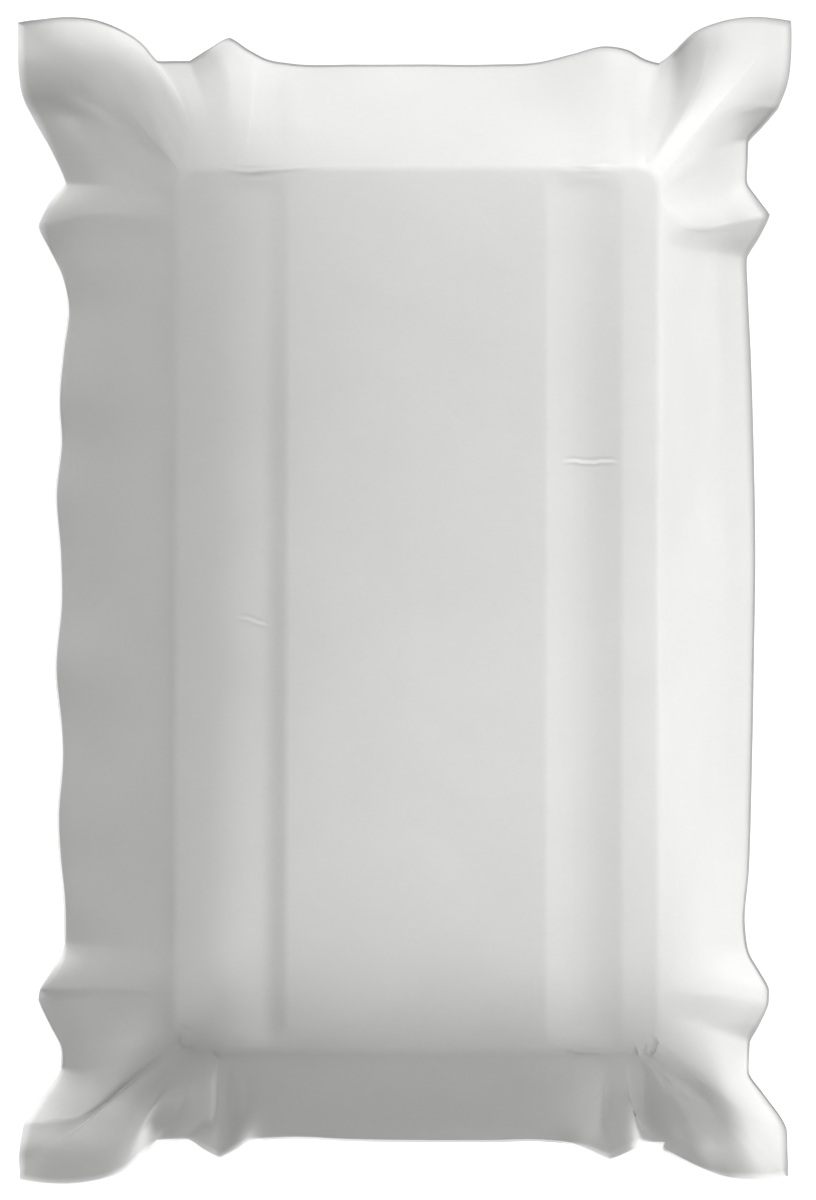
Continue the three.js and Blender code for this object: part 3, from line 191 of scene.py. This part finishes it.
def floor_edge():
    """The floor's edge as a closed curve, clockwise from the middle of the upper left corner, with the distance along it."""
    (x0, x1), (y0, y1), r = FLOOR_X, FLOOR_Y, FLOOR_CORNER

    def arc(cx, cy, a, b):
        t = np.radians(np.linspace(a, b, 120))
        return np.stack([cx + r * np.cos(t), cy + r * np.sin(t)], 1)

    p = np.concatenate([
        arc(x0 + r, y1 - r, 135, 90), arc(x1 - r, y1 - r, 90, 0), arc(x1 - r, y0 + r, 0, -90),
        arc(x0 + r, y0 + r, -90, -180), arc(x0 + r, y1 - r, 180, 135),
    ])
    d = np.r_[0, np.cumsum(np.hypot(*np.diff(p, axis=0).T))]
    keep = np.r_[True, np.diff(d) > 1e-9]
    p, d = p[keep], d[keep]
    q = np.linspace(0, d[-1], 24001)
    return np.stack([np.interp(q, d, p[:, 0]), np.interp(q, d, p[:, 1])], 1), q


EDGE, EDGE_AT = floor_edge()
EDGE_LENGTH = EDGE_AT[-1]


def edge_point(b):
    b = np.mod(b, EDGE_LENGTH)
    return np.stack([np.interp(b, EDGE_AT, EDGE[:, 0]), np.interp(b, EDGE_AT, EDGE[:, 1])], -1)


def edge_distance(x, y):
    return EDGE_AT[np.argmin((EDGE[:, 0] - x) ** 2 + (EDGE[:, 1] - y) ** 2)]


rim = LINES[:, :3]
rim_step = np.linalg.norm(np.roll(rim, -1, 0) - rim, axis=1)
RIM_AT = np.r_[0, np.cumsum(rim_step)]
base_at = [edge_distance(a[3], a[4]) for a in LINES]
for i in range(1, COUNT):
    while base_at[i] < base_at[i - 1] - EDGE_LENGTH / 2:
        base_at[i] += EDGE_LENGTH
    if base_at[i] < base_at[i - 1]:
        base_at[i] = base_at[i - 1] + 1e-3
base_at = np.r_[base_at, base_at[0] + EDGE_LENGTH]


def cubic(values, crease, u):
    """Closed cubic through values at the control lines: crease 0 is smooth there, 1 is a sharp fold."""
    step = np.diff(RIM_AT)
    ahead = (np.roll(values, -1, 0) - values) / step[:, None]
    behind, before = np.roll(ahead, 1, 0), np.roll(step, 1)
    w = (step / (step + before))[:, None]
    smooth = behind * w + ahead * (1 - w)
    c = crease[:, None]
    left, right = (1 - c) * smooth + c * behind, (1 - c) * smooth + c * ahead
    i = np.clip(np.searchsorted(RIM_AT, u, side="right") - 1, 0, COUNT - 1)
    j = (i + 1) % COUNT
    h = step[i]
    s = ((u - RIM_AT[i]) / h)[:, None]
    h = h[:, None]
    return ((2 * s**3 - 3 * s**2 + 1) * values[i] + (s**3 - 2 * s**2 + s) * h * right[i]
            + (3 * s**2 - 2 * s**3) * values[j] + (s**3 - s**2) * h * left[j])


def wall(u, t):
    """Points of the sheet's upper face on the wall: u along the rim, t from the floor's edge to the rim."""
    b = edge_point(np.interp(u, RIM_AT, base_at))
    base = np.c_[b, np.zeros(len(u))][:, None]
    smooth = np.zeros(COUNT)
    rc, rb = cubic(rim, LINES[:, 5], u)[:, None], cubic(rim, LINES[:, 6], u)[:, None]
    low, high = cubic(LINES[:, 7:9], smooth, u)[:, None], cubic(LINES[:, 9:11], smooth, u)[:, None]
    rise = cubic(LINES[:, 11:15], LINES[:, 5], u)
    t = np.asarray(t)[..., None] if np.ndim(t) > 1 else np.repeat(np.asarray(t, dtype=float)[None, :, None], len(u), 0)
    p = base * (1 - t) + (rb * (1 - t) + rc * t) * t
    p[..., :2] += 6.75 * t * (1 - t) ** 2 * low + 6.75 * t**2 * (1 - t) * high
    for k, at in enumerate(LEVELS):
        p[..., 2] += rise[:, None, k] * (np.exp(-(((t - at) / LEVEL_WIDTH) ** 2)) * t * (1 - t) / (at * (1 - at)))[..., 0]
    return p


RIB_LEFT = np.array([[-38.5, 0], [-37.3, 0.12], [-36.3, 0.32], [-35.1, 0.62], [-34.0, 0.95], [-32.4, 1.36], [-30.8, 1.7], [-29.5, 1.9], [-28.3, 1.98], [-27.6, 1.9], [-26.8, 1.66], [-25.9, 1.18], [-25.0, 0.62], [-24.5, 0.28], [-24.0, 0.06], [-23.6, 0]])
RIB_RIGHT = np.array([[25.3, 0], [25.8, 0.12], [26.4, 0.36], [27.4, 0.68], [28.3, 0.96], [29.5, 1.24], [30.8, 1.48], [32.0, 1.56], [33.1, 1.6], [34.3, 1.5], [35.6, 1.27], [36.9, 0.94], [38.2, 0.56], [39.0, 0.3], [39.6, 0.1], [40.1, 0]])


def rib(x, table):
    """Height of a rib, with its corners eased."""
    q = np.arange(table[0, 0] - 2, table[-1, 0] + 2, 0.05)
    k = np.exp(-((np.arange(-24, 25) * 0.05 / 0.42) ** 2))
    h = np.convolve(np.interp(q, table[:, 0], table[:, 1], left=0, right=0), k / k.sum(), mode="same")
    return np.interp(x, q, h, left=0, right=0)


def fade(y, start, end):
    w = np.clip((y - start) / (FLOOR_Y[1] - start), 0, 1)
    return 1 - (1 - end) * w * w * (3 - 2 * w)


def hump(v, centre, width):
    return np.exp(-(((v - centre) / width) ** 2))


def floor_height(x, y):
    z = rib(x, RIB_LEFT) * fade(y, 25, 0.45) + rib(x, RIB_RIGHT) * fade(y, 30, 0.6)
    # the ribs run out where they meet the end walls
    end = np.clip((np.minimum(y - FLOOR_Y[0], FLOOR_Y[1] - y) - 0.6) / 4.6, 0, 1)
    z = z * end * end * (3 - 2 * end)
    # a crack across each rib, where the pressed board gave way
    for x0, x1, yc, slope, amount in ((28.6, 39.2, 27.1, -0.01, 0.17), (-33.4, -27.0, -2.3, -0.25, 0.13)):
        line = yc + slope * (x - x0) + 0.16 * np.sin((x - x0) * 0.9) + 0.07 * np.sin((x - x0) * 2.7 + 1.0)
        along = np.clip((x - x0) / 1.8, 0, 1) * np.clip((x1 - x) / 1.8, 0, 1)
        z = z + along * (amount * hump(y, line + 0.3, 0.34) - amount * 1.2 * hump(y, line - 0.3, 0.3))
    # small crinkles at the ribs' ends
    for x0, x1, yc, amount in ((-36.5, -24.5, 82.4, 0.26), (27.0, 39.5, 82.6, 0.26), (-38, -26, -83.2, 0.16), (26.5, 36, -83.6, 0.2)):
        line = yc + 0.35 * np.sin((x - x0) * 0.62)
        along = np.clip((x - x0) / 2.5, 0, 1) * np.clip((x1 - x) / 2.5, 0, 1)
        z = z + along * amount * hump(y, line, 0.5)
    return z


# ---------------------------------------------------------------- mesh of the upper face
u = np.concatenate([
    np.linspace(RIM_AT[i], RIM_AT[i + 1], max(4, int(round(rim_step[i] / (1.6 if rim_step[i] > 8.5 else 0.68)))), endpoint=False) for i in range(COUNT)
])
AROUND = len(u)
base_u = np.interp(u, RIM_AT, base_at)
edge = edge_point(base_u)
r = FLOOR_CORNER
inward = np.c_[np.clip(edge[:, 0], FLOOR_X[0] + r, FLOOR_X[1] - r), np.clip(edge[:, 1], FLOOR_Y[0] + r, FLOOR_Y[1] - r)] - edge
inward /= np.linalg.norm(inward, axis=1, keepdims=True)
length = np.linalg.norm(wall(u, [1.0])[:, 0] - np.c_[edge, np.zeros(AROUND)], axis=1)
t_bend = np.minimum(0.12, BEND / length)
rows = []
start = np.c_[edge + inward * BEND, np.zeros(AROUND)]
top_of_bend = wall(u, t_bend[:, None])[:, 0]
for w in (0, .14, .28, .42, .56, .7, .85, 1):
    rows.append(start * (1 - w) ** 2 + 2 * w * (1 - w) * np.c_[edge, np.zeros(AROUND)] + top_of_bend * w * w)
share = np.concatenate([[0.02, 0.045], np.linspace(0.08, 1, 25)])
P = wall(u, t_bend[:, None] + (1 - t_bend[:, None]) * share[None])
rows += [P[:, k] for k in range(P.shape[1])]
ROWS = len(rows)
rings = np.stack(rows)  # ROWS, AROUND, 3

INSET = 5.5
gx0, gx1 = FLOOR_X[0] + INSET, FLOOR_X[1] - INSET
gy0, gy1 = FLOOR_Y[0] + INSET, FLOOR_Y[1] - INSET
xs = np.unique(np.round(np.concatenate([
    np.arange(RIB_LEFT[0, 0] - 0.4, RIB_LEFT[-1, 0] + 0.6, 0.42), np.linspace(RIB_LEFT[-1, 0] + 0.6, RIB_RIGHT[0, 0] - 0.6, 22),
    np.arange(RIB_RIGHT[0, 0] - 0.5, RIB_RIGHT[-1, 0] + 0.5, 0.42), [gx0, gx1]]), 3))
xs = xs[(xs >= gx0) & (xs <= gx1)]
xs = xs[np.r_[True, np.diff(xs) > 0.12]]
xs[0], xs[-1] = gx0, gx1
ys = np.unique(np.round(np.concatenate([
    np.linspace(gy0, gy1, 70), np.linspace(25.0, 29.5, 20), np.linspace(-5.4, -0.4, 20)]), 3))
ys = ys[np.r_[True, np.diff(ys) > 0.12]]
ys[0], ys[-1] = gy0, gy1
gx, gy = np.meshgrid(xs, ys, indexing="ij")
grid = np.stack([gx, gy, floor_height(gx, gy)], -1)

verts = [rings.reshape(-1, 3)]
ring_id = np.arange(ROWS * AROUND).reshape(ROWS, AROUND)
quads = []
nxt = np.roll(np.arange(AROUND), -1)
for r in range(ROWS - 1):
    quads.append(np.stack([ring_id[r], ring_id[r][nxt], ring_id[r + 1][nxt], ring_id[r + 1]], 1))
grid_id = ROWS * AROUND + np.arange(grid.shape[0] * grid.shape[1]).reshape(grid.shape[:2])
verts.append(grid.reshape(-1, 3))
quads.append(np.stack([grid_id[:-1, :-1], grid_id[1:, :-1], grid_id[1:, 1:], grid_id[:-1, 1:]], -1).reshape(-1, 4))
quads = np.concatenate(quads)

# belt between the grid and the innermost ring: five more rings, then triangles to the grid's border
border = np.concatenate([grid_id[:, -1], grid_id[-1, -2::-1], grid_id[-2::-1, 0], grid_id[0, 1:-1]])
flat = np.concatenate(verts)
belt = []
inner_ids = ring_id[0]
for k, depth in enumerate((1.5, 2.0, 2.7, 3.5, 4.2)):
    p = edge + inward * depth
    z = floor_height(p[:, 0], p[:, 1])
    ids = len(flat) + np.arange(AROUND)
    flat = np.concatenate([flat, np.c_[p, z]])
    quads = np.concatenate([quads, np.stack([ids, ids[nxt], inner_ids[nxt], inner_ids], 1)])
    inner_ids = ids
tris = []


def facing(x, y):
    """Where a point of the grid's border faces the floor's edge; its corners face the middle of the floor's corners."""
    if min(x - gx0, gx1 - x) < 1e-6 and min(y - gy0, gy1 - y) < 1e-6:
        x, y = x + (9 if x > 0 else -9), y + (9 if y > 0 else -9)
    return edge_distance(x, y)


at = np.array([facing(*flat[v][:2]) for v in border])
for k in range(1, len(at)):
    while at[k] < at[k - 1] - EDGE_LENGTH / 2:
        at[k] += EDGE_LENGTH
gap = np.abs(np.mod(base_u - at[0] + EDGE_LENGTH / 2, EDGE_LENGTH) - EDGE_LENGTH / 2)
s0 = int(np.argmin(gap))
outer = [(int(inner_ids[(s0 + k) % AROUND]), float(np.mod(base_u[(s0 + k) % AROUND] - base_u[s0] + 1e-9, EDGE_LENGTH))) for k in range(AROUND)]
outer.append((outer[0][0], EDGE_LENGTH))
inside = [(int(border[k]), float(at[k] - at[0])) for k in range(len(border))] + [(int(border[0]), EDGE_LENGTH)]
i = j = 0
while i < len(outer) - 1 or j < len(inside) - 1:
    if j == len(inside) - 1 or (i < len(outer) - 1 and outer[i + 1][1] <= inside[j + 1][1]):
        tris.append((outer[i][0], inside[j][0], outer[i + 1][0]))
        i += 1
    else:
        tris.append((outer[i][0], inside[j][0], inside[j + 1][0]))
        j += 1
tris = np.array(tris)

# ---------------------------------------------------------------- crinkles where the board gave way in the press
# height across the line (negative is a groove), half width, points in plan
CRINKLES = [
    (-0.5, 0.27, [(-37.3, 83.5), (-34.1, 82.8), (-30.8, 82.5), (-27.8, 82.9), (-23.6, 83.0), (-18.8, 83.4)]),
    (0.34, 0.26, [(-36.6, 84.2), (-32.2, 83.4), (-28.9, 83.5), (-23.9, 83.6)]),
    (0.42, 0.28, [(26.7, 83.5), (29.2, 84.2), (32.8, 84.0), (35.6, 84.2), (39.4, 83.6)]),
    (-0.42, 0.26, [(30.3, 83.5), (33.7, 83.2), (36.8, 83.5)]),
    (-0.45, 0.28, [(28.7, -84.1), (32.0, -84.9), (36.5, -84.9)]),
    (-0.8, 0.3, [(46.2, -81.4), (46.5, -83.1), (45.6, -85.0), (45.2, -86.3)]),
    (-0.4, 0.25, [(42.6, -83.7), (42.9, -85.8)]),
    (0.34, 0.28, [(44.5, -83.1), (43.7, -85.4)]),
    (0.3, 0.28, [(-44.0, -80.1), (-42.8, -82.8)]),
    (-0.42, 0.28, [(-44.7, -81.4), (-43.6, -83.9), (-40.9, -84.6)]),
    (-0.5, 0.4, [(-38.2, -84.4), (-36.3, -85.8), (-35.4, -86.5)]),
    (-0.3, 0.25, [(-43.8, -79.5), (-41.9, -80.7)]),
    (-0.42, 0.42, [(62.8, 90.8), (65.1, 91.6), (67.3, 92.1), (69.7, 91.8)]),
    (-0.5, 0.42, [(-70.3, -98.2), (-67.9, -98.5), (-65.6, -97.8), (-63.0, -97.6), (-60.7, -96.6)]),
    (-1.1, 1.2, [(-34.8, -86.5), (-34.0, -90.2), (-33.2, -94.8), (-32.3, -101.2)]),
    (0.4, 0.9, [(-36.7, -86.9), (-35.9, -90.2), (-35.1, -94.8), (-34.2, -101.2)]),
    (-0.7, 1.3, [(-57.9, 97.3), (-54.6, 93.1), (-51.4, 89.7), (-47.8, 86.5), (-44.9, 84.7)]),
    (0.45, 1, [(-33.3, -86.5), (-32.4, -91.2), (-31.1, -95.7), (-29.9, -100.1)]),
    (-0.6, 0.8, [(38.2, -87.8), (38.4, -91.9), (38.5, -96.5), (38.7, -101.0)]),
    (-0.45, 0.7, [(45.7, -86.3), (49.0, -90.0), (52.3, -93.3), (55.5, -96.4)]),
    (-0.5, 0.8, [(-22.1, 99.7), (-22.0, 96.0), (-21.8, 91.2), (-21.9, 86.4)]),
]


def normals(points):
    n_ = np.zeros_like(points)
    for f_ in (quads[:, [0, 1, 2]], quads[:, [0, 2, 3]], tris):
        c_ = np.cross(points[f_[:, 1]] - points[f_[:, 0]], points[f_[:, 2]] - points[f_[:, 0]])
        for k_ in range(3):
            np.add.at(n_, f_[:, k_], c_)
    return n_ / (np.linalg.norm(n_, axis=1, keepdims=True) + 1e-12)


def crinkle(points, height, width, line):
    """Height of one crinkle at the given points; it fades out towards its ends."""
    line = np.array(line, dtype=float)
    seg = np.linalg.norm(np.diff(line, axis=0), axis=1)
    run = np.r_[0, np.cumsum(seg)]
    best, where_ = np.full(len(points), 1e9), np.zeros(len(points))
    for k_ in range(len(seg)):
        d_ = (line[k_ + 1] - line[k_]) / seg[k_]
        s_ = np.clip((points[:, :2] - line[k_]) @ d_, 0, seg[k_])
        dist = np.linalg.norm(points[:, :2] - line[k_] - s_[:, None] * d_, axis=1)
        near = dist < best
        best[near], where_[near] = dist[near], (run[k_] + s_)[near]
    ends = np.clip(np.minimum(where_, run[-1] - where_) / (0.3 * run[-1]), 0.12, 1)
    return height * ends * np.exp(-((best / width) ** 2))


first = normals(flat)
lift = sum(crinkle(flat, *c) for c in CRINKLES)
flat = flat + first * lift[:, None]

# ---------------------------------------------------------------- the sheet's underside and its cut edge
normal = np.zeros_like(flat)
for f in (quads[:, [0, 1, 2]], quads[:, [0, 2, 3]], tris):
    n = np.cross(flat[f[:, 1]] - flat[f[:, 0]], flat[f[:, 2]] - flat[f[:, 0]])
    for c in range(3):
        np.add.at(normal, f[:, c], n)
normal /= np.linalg.norm(normal, axis=1, keepdims=True) + 1e-12
under = flat - normal * THICKNESS
N = len(flat)
last = ring_id[-1]
side = np.stack([last[nxt], last, last + N, last[nxt] + N], 1)[:, ::-1]
all_verts = np.concatenate([flat, under])
all_verts[:, 2] += THICKNESS
# the press table under the tray holds every crinkle above its level
all_verts[:, 2] = np.maximum(all_verts[:, 2], np.where(np.arange(len(all_verts)) < len(flat), 0.12, 0.0))
faces = ([tuple(q) for q in quads.tolist()] + [tuple(t) for t in tris.tolist()]
         + [tuple(q[::-1]) for q in (quads + N).tolist()] + [tuple(t[::-1]) for t in (tris + N).tolist()]
         + [tuple(q) for q in side.tolist()])
mesh = bpy.data.meshes.new("tray_sheet")
mesh.from_pydata((all_verts / 1000.0).tolist(), [], faces)
mesh.update()
smooth_flags = np.ones(len(faces), dtype=bool)
smooth_flags[-len(side):] = False
mesh.polygons.foreach_set("use_smooth", smooth_flags)
tray = bpy.data.objects.new("tray_sheet", mesh)
bpy.context.scene.collection.objects.link(tray)


# ---------------------------------------------------------------- materials
def paperboard():
    m = bpy.data.materials.new("paperboard")
    m.use_nodes = True
    t = m.node_tree
    n, link = t.nodes, t.links.new
    bsdf = n["Principled BSDF"]
    bsdf.inputs["Roughness"].default_value = 0.78
    bsdf.inputs["IOR"].default_value = 1.42
    bsdf.inputs["Specular IOR Level"].default_value = 0.35
    bsdf.inputs["Sheen Weight"].default_value = 0.08
    bsdf.inputs["Sheen Roughness"].default_value = 0.6
    where = n.new("ShaderNodeTexCoord")

    def noise(scale, detail, rough, stretch=None):
        tex = n.new("ShaderNodeTexNoise")
        tex.inputs["Scale"].default_value = scale
        tex.inputs["Detail"].default_value = detail
        tex.inputs["Roughness"].default_value = rough
        if stretch:
            mp = n.new("ShaderNodeMapping")
            mp.inputs["Scale"].default_value = stretch
            mp.inputs["Rotation"].default_value = (0, 0, 0.5)
            link(where.outputs["Object"], mp.inputs["Vector"])
            link(mp.outputs["Vector"], tex.inputs["Vector"])
        else:
            link(where.outputs["Object"], tex.inputs["Vector"])
        return tex.outputs["Fac"]

    cloud = noise(38, 3, 0.55)  # slow mottling of the pulp
    speck = noise(900, 4, 0.65)  # fine fibre grain
    fibre = noise(420, 3, 0.6, (1, 0.22, 1))  # short fibres lying one way
    fibre2 = noise(460, 3, 0.6, (0.22, 1, 1))
    tint = n.new("ShaderNodeValToRGB")
    tint.color_ramp.elements[0].position = 0.30
    tint.color_ramp.elements[0].color = (0.785, 0.783, 0.775, 1)
    tint.color_ramp.elements[1].position = 0.72
    tint.color_ramp.elements[1].color = (0.835, 0.834, 0.829, 1)
    mix = n.new("ShaderNodeMix")
    mix.data_type = "FLOAT"
    mix.inputs["Factor"].default_value = 0.35
    link(cloud, mix.inputs["A"])
    link(speck, mix.inputs["B"])
    link(mix.outputs["Result"], tint.inputs["Fac"])
    link(tint.outputs["Color"], bsdf.inputs["Base Color"])
    rough = n.new("ShaderNodeMapRange")
    rough.inputs["From Min"].default_value = 0.3
    rough.inputs["From Max"].default_value = 0.7
    rough.inputs["To Min"].default_value = 0.72
    rough.inputs["To Max"].default_value = 0.86
    link(speck, rough.inputs["Value"])
    link(rough.outputs["Result"], bsdf.inputs["Roughness"])
    add = n.new("ShaderNodeMath")
    add.operation = "MAXIMUM"
    link(fibre, add.inputs[0])
    link(fibre2, add.inputs[1])
    grain = n.new("ShaderNodeBump")
    grain.inputs["Strength"].default_value = 0.16
    grain.inputs["Distance"].default_value = 0.00012
    link(add.outputs[0], grain.inputs["Height"])
    soft = n.new("ShaderNodeBump")
    soft.inputs["Strength"].default_value = 0.25
    soft.inputs["Distance"].default_value = 0.0006
    link(noise(95, 3, 0.5), soft.inputs["Height"])
    link(grain.outputs["Normal"], soft.inputs["Normal"])
    link(soft.outputs["Normal"], bsdf.inputs["Normal"])
    return m


tray.data.materials.append(paperboard())
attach(tray, "root")
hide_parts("tray")

# ---------------------------------------------------------------- floor, light, camera
plane = bpy.data.meshes.new("ground")
S = 3.0
plane.from_pydata([(-S, -S, 0), (S, -S, 0), (S, S, 0), (-S, S, 0)], [], [(0, 1, 2, 3)])
ground = bpy.data.objects.new("ground", plane)
ground.location.z = -0.0002
bpy.context.scene.collection.objects.link(ground)
gm = bpy.data.materials.new("ground_white")
gm.use_nodes = True
gb = gm.node_tree.nodes["Principled BSDF"]
gb.inputs["Base Color"].default_value = (0.9, 0.9, 0.9, 1)
gb.inputs["Roughness"].default_value = 0.9
gb.inputs["Emission Color"].default_value = (1, 1, 1, 1)
gb.inputs["Emission Strength"].default_value = 0.75
ground.data.materials.append(gm)

scene = bpy.context.scene
world = bpy.data.worlds.new("studio")
world.use_nodes = True
world.node_tree.nodes["Background"].inputs["Color"].default_value = (1, 1, 1, 1)
world.node_tree.nodes["Background"].inputs["Strength"].default_value = 0.31
scene.world = world
scene.view_settings.view_transform = "Standard"


def area(name, azimuth, elevation, distance, size, power, aim=(0, 0, 0.01)):
    light = bpy.data.lights.new(name, "AREA")
    light.shape = "DISK"
    light.size = size
    light.energy = power
    o = bpy.data.objects.new(name, light)
    az, el = math.radians(azimuth), math.radians(elevation)
    d = (math.cos(el) * math.cos(az), math.cos(el) * math.sin(az), math.sin(el))
    o.location = [aim[k] + d[k] * distance for k in range(3)]
    from mathutils import Vector
    o.rotation_euler = Vector(d).to_track_quat("Z", "Y").to_euler()
    scene.collection.objects.link(o)
    return o


area("key_low", 200, 12, 1.6, 0.8, 3.4)
area("key_left", 200, 30, 1.6, 0.8, 9.8)
area("key_front_left", 240, 30, 1.6, 0.8, 7.5)
area("key_front", 270, 50, 1.6, 0.8, 5.5)

# the photograph looks almost straight down, from a little to the right and below
cam_data = bpy.data.cameras.new("camera")
cam = bpy.data.objects.new("camera", cam_data)
scene.collection.objects.link(cam)
scene.camera = cam
from mathutils import Matrix, Vector

HEIGHT = 1.6
TILT = (0.076, -0.0443)
distance = HEIGHT * math.sqrt(1 + TILT[0] ** 2 + TILT[1] ** 2)
target = Vector((0.970 / 1000, -1.013 / 1000, 0.0005))
zaxis = Vector((TILT[0], TILT[1], 1.0)).normalized()
cam.location = target + zaxis * distance
level = (Vector((1, 0, 0)) - zaxis * zaxis.x).normalized()
upright = Vector((0, 1, 0)).cross(zaxis).normalized()
xaxis = (level + upright).normalized()
yaxis = zaxis.cross(xaxis)
cam.rotation_euler = Matrix((xaxis, yaxis, zaxis)).transposed().to_euler()
cam_data.sensor_fit = "AUTO"
cam_data.sensor_width = 36.0
cam_data.lens = 36.0 * distance / (1200 * 0.19 / 1000)
# the picture's middle is at 408, 600; the tray's frame is aimed at 417.5, 609.75
cam_data.shift_x = (408 - 417.5) / 1200
cam_data.shift_y = (609.75 - 600) / 1200
cam_data.clip_end = 20
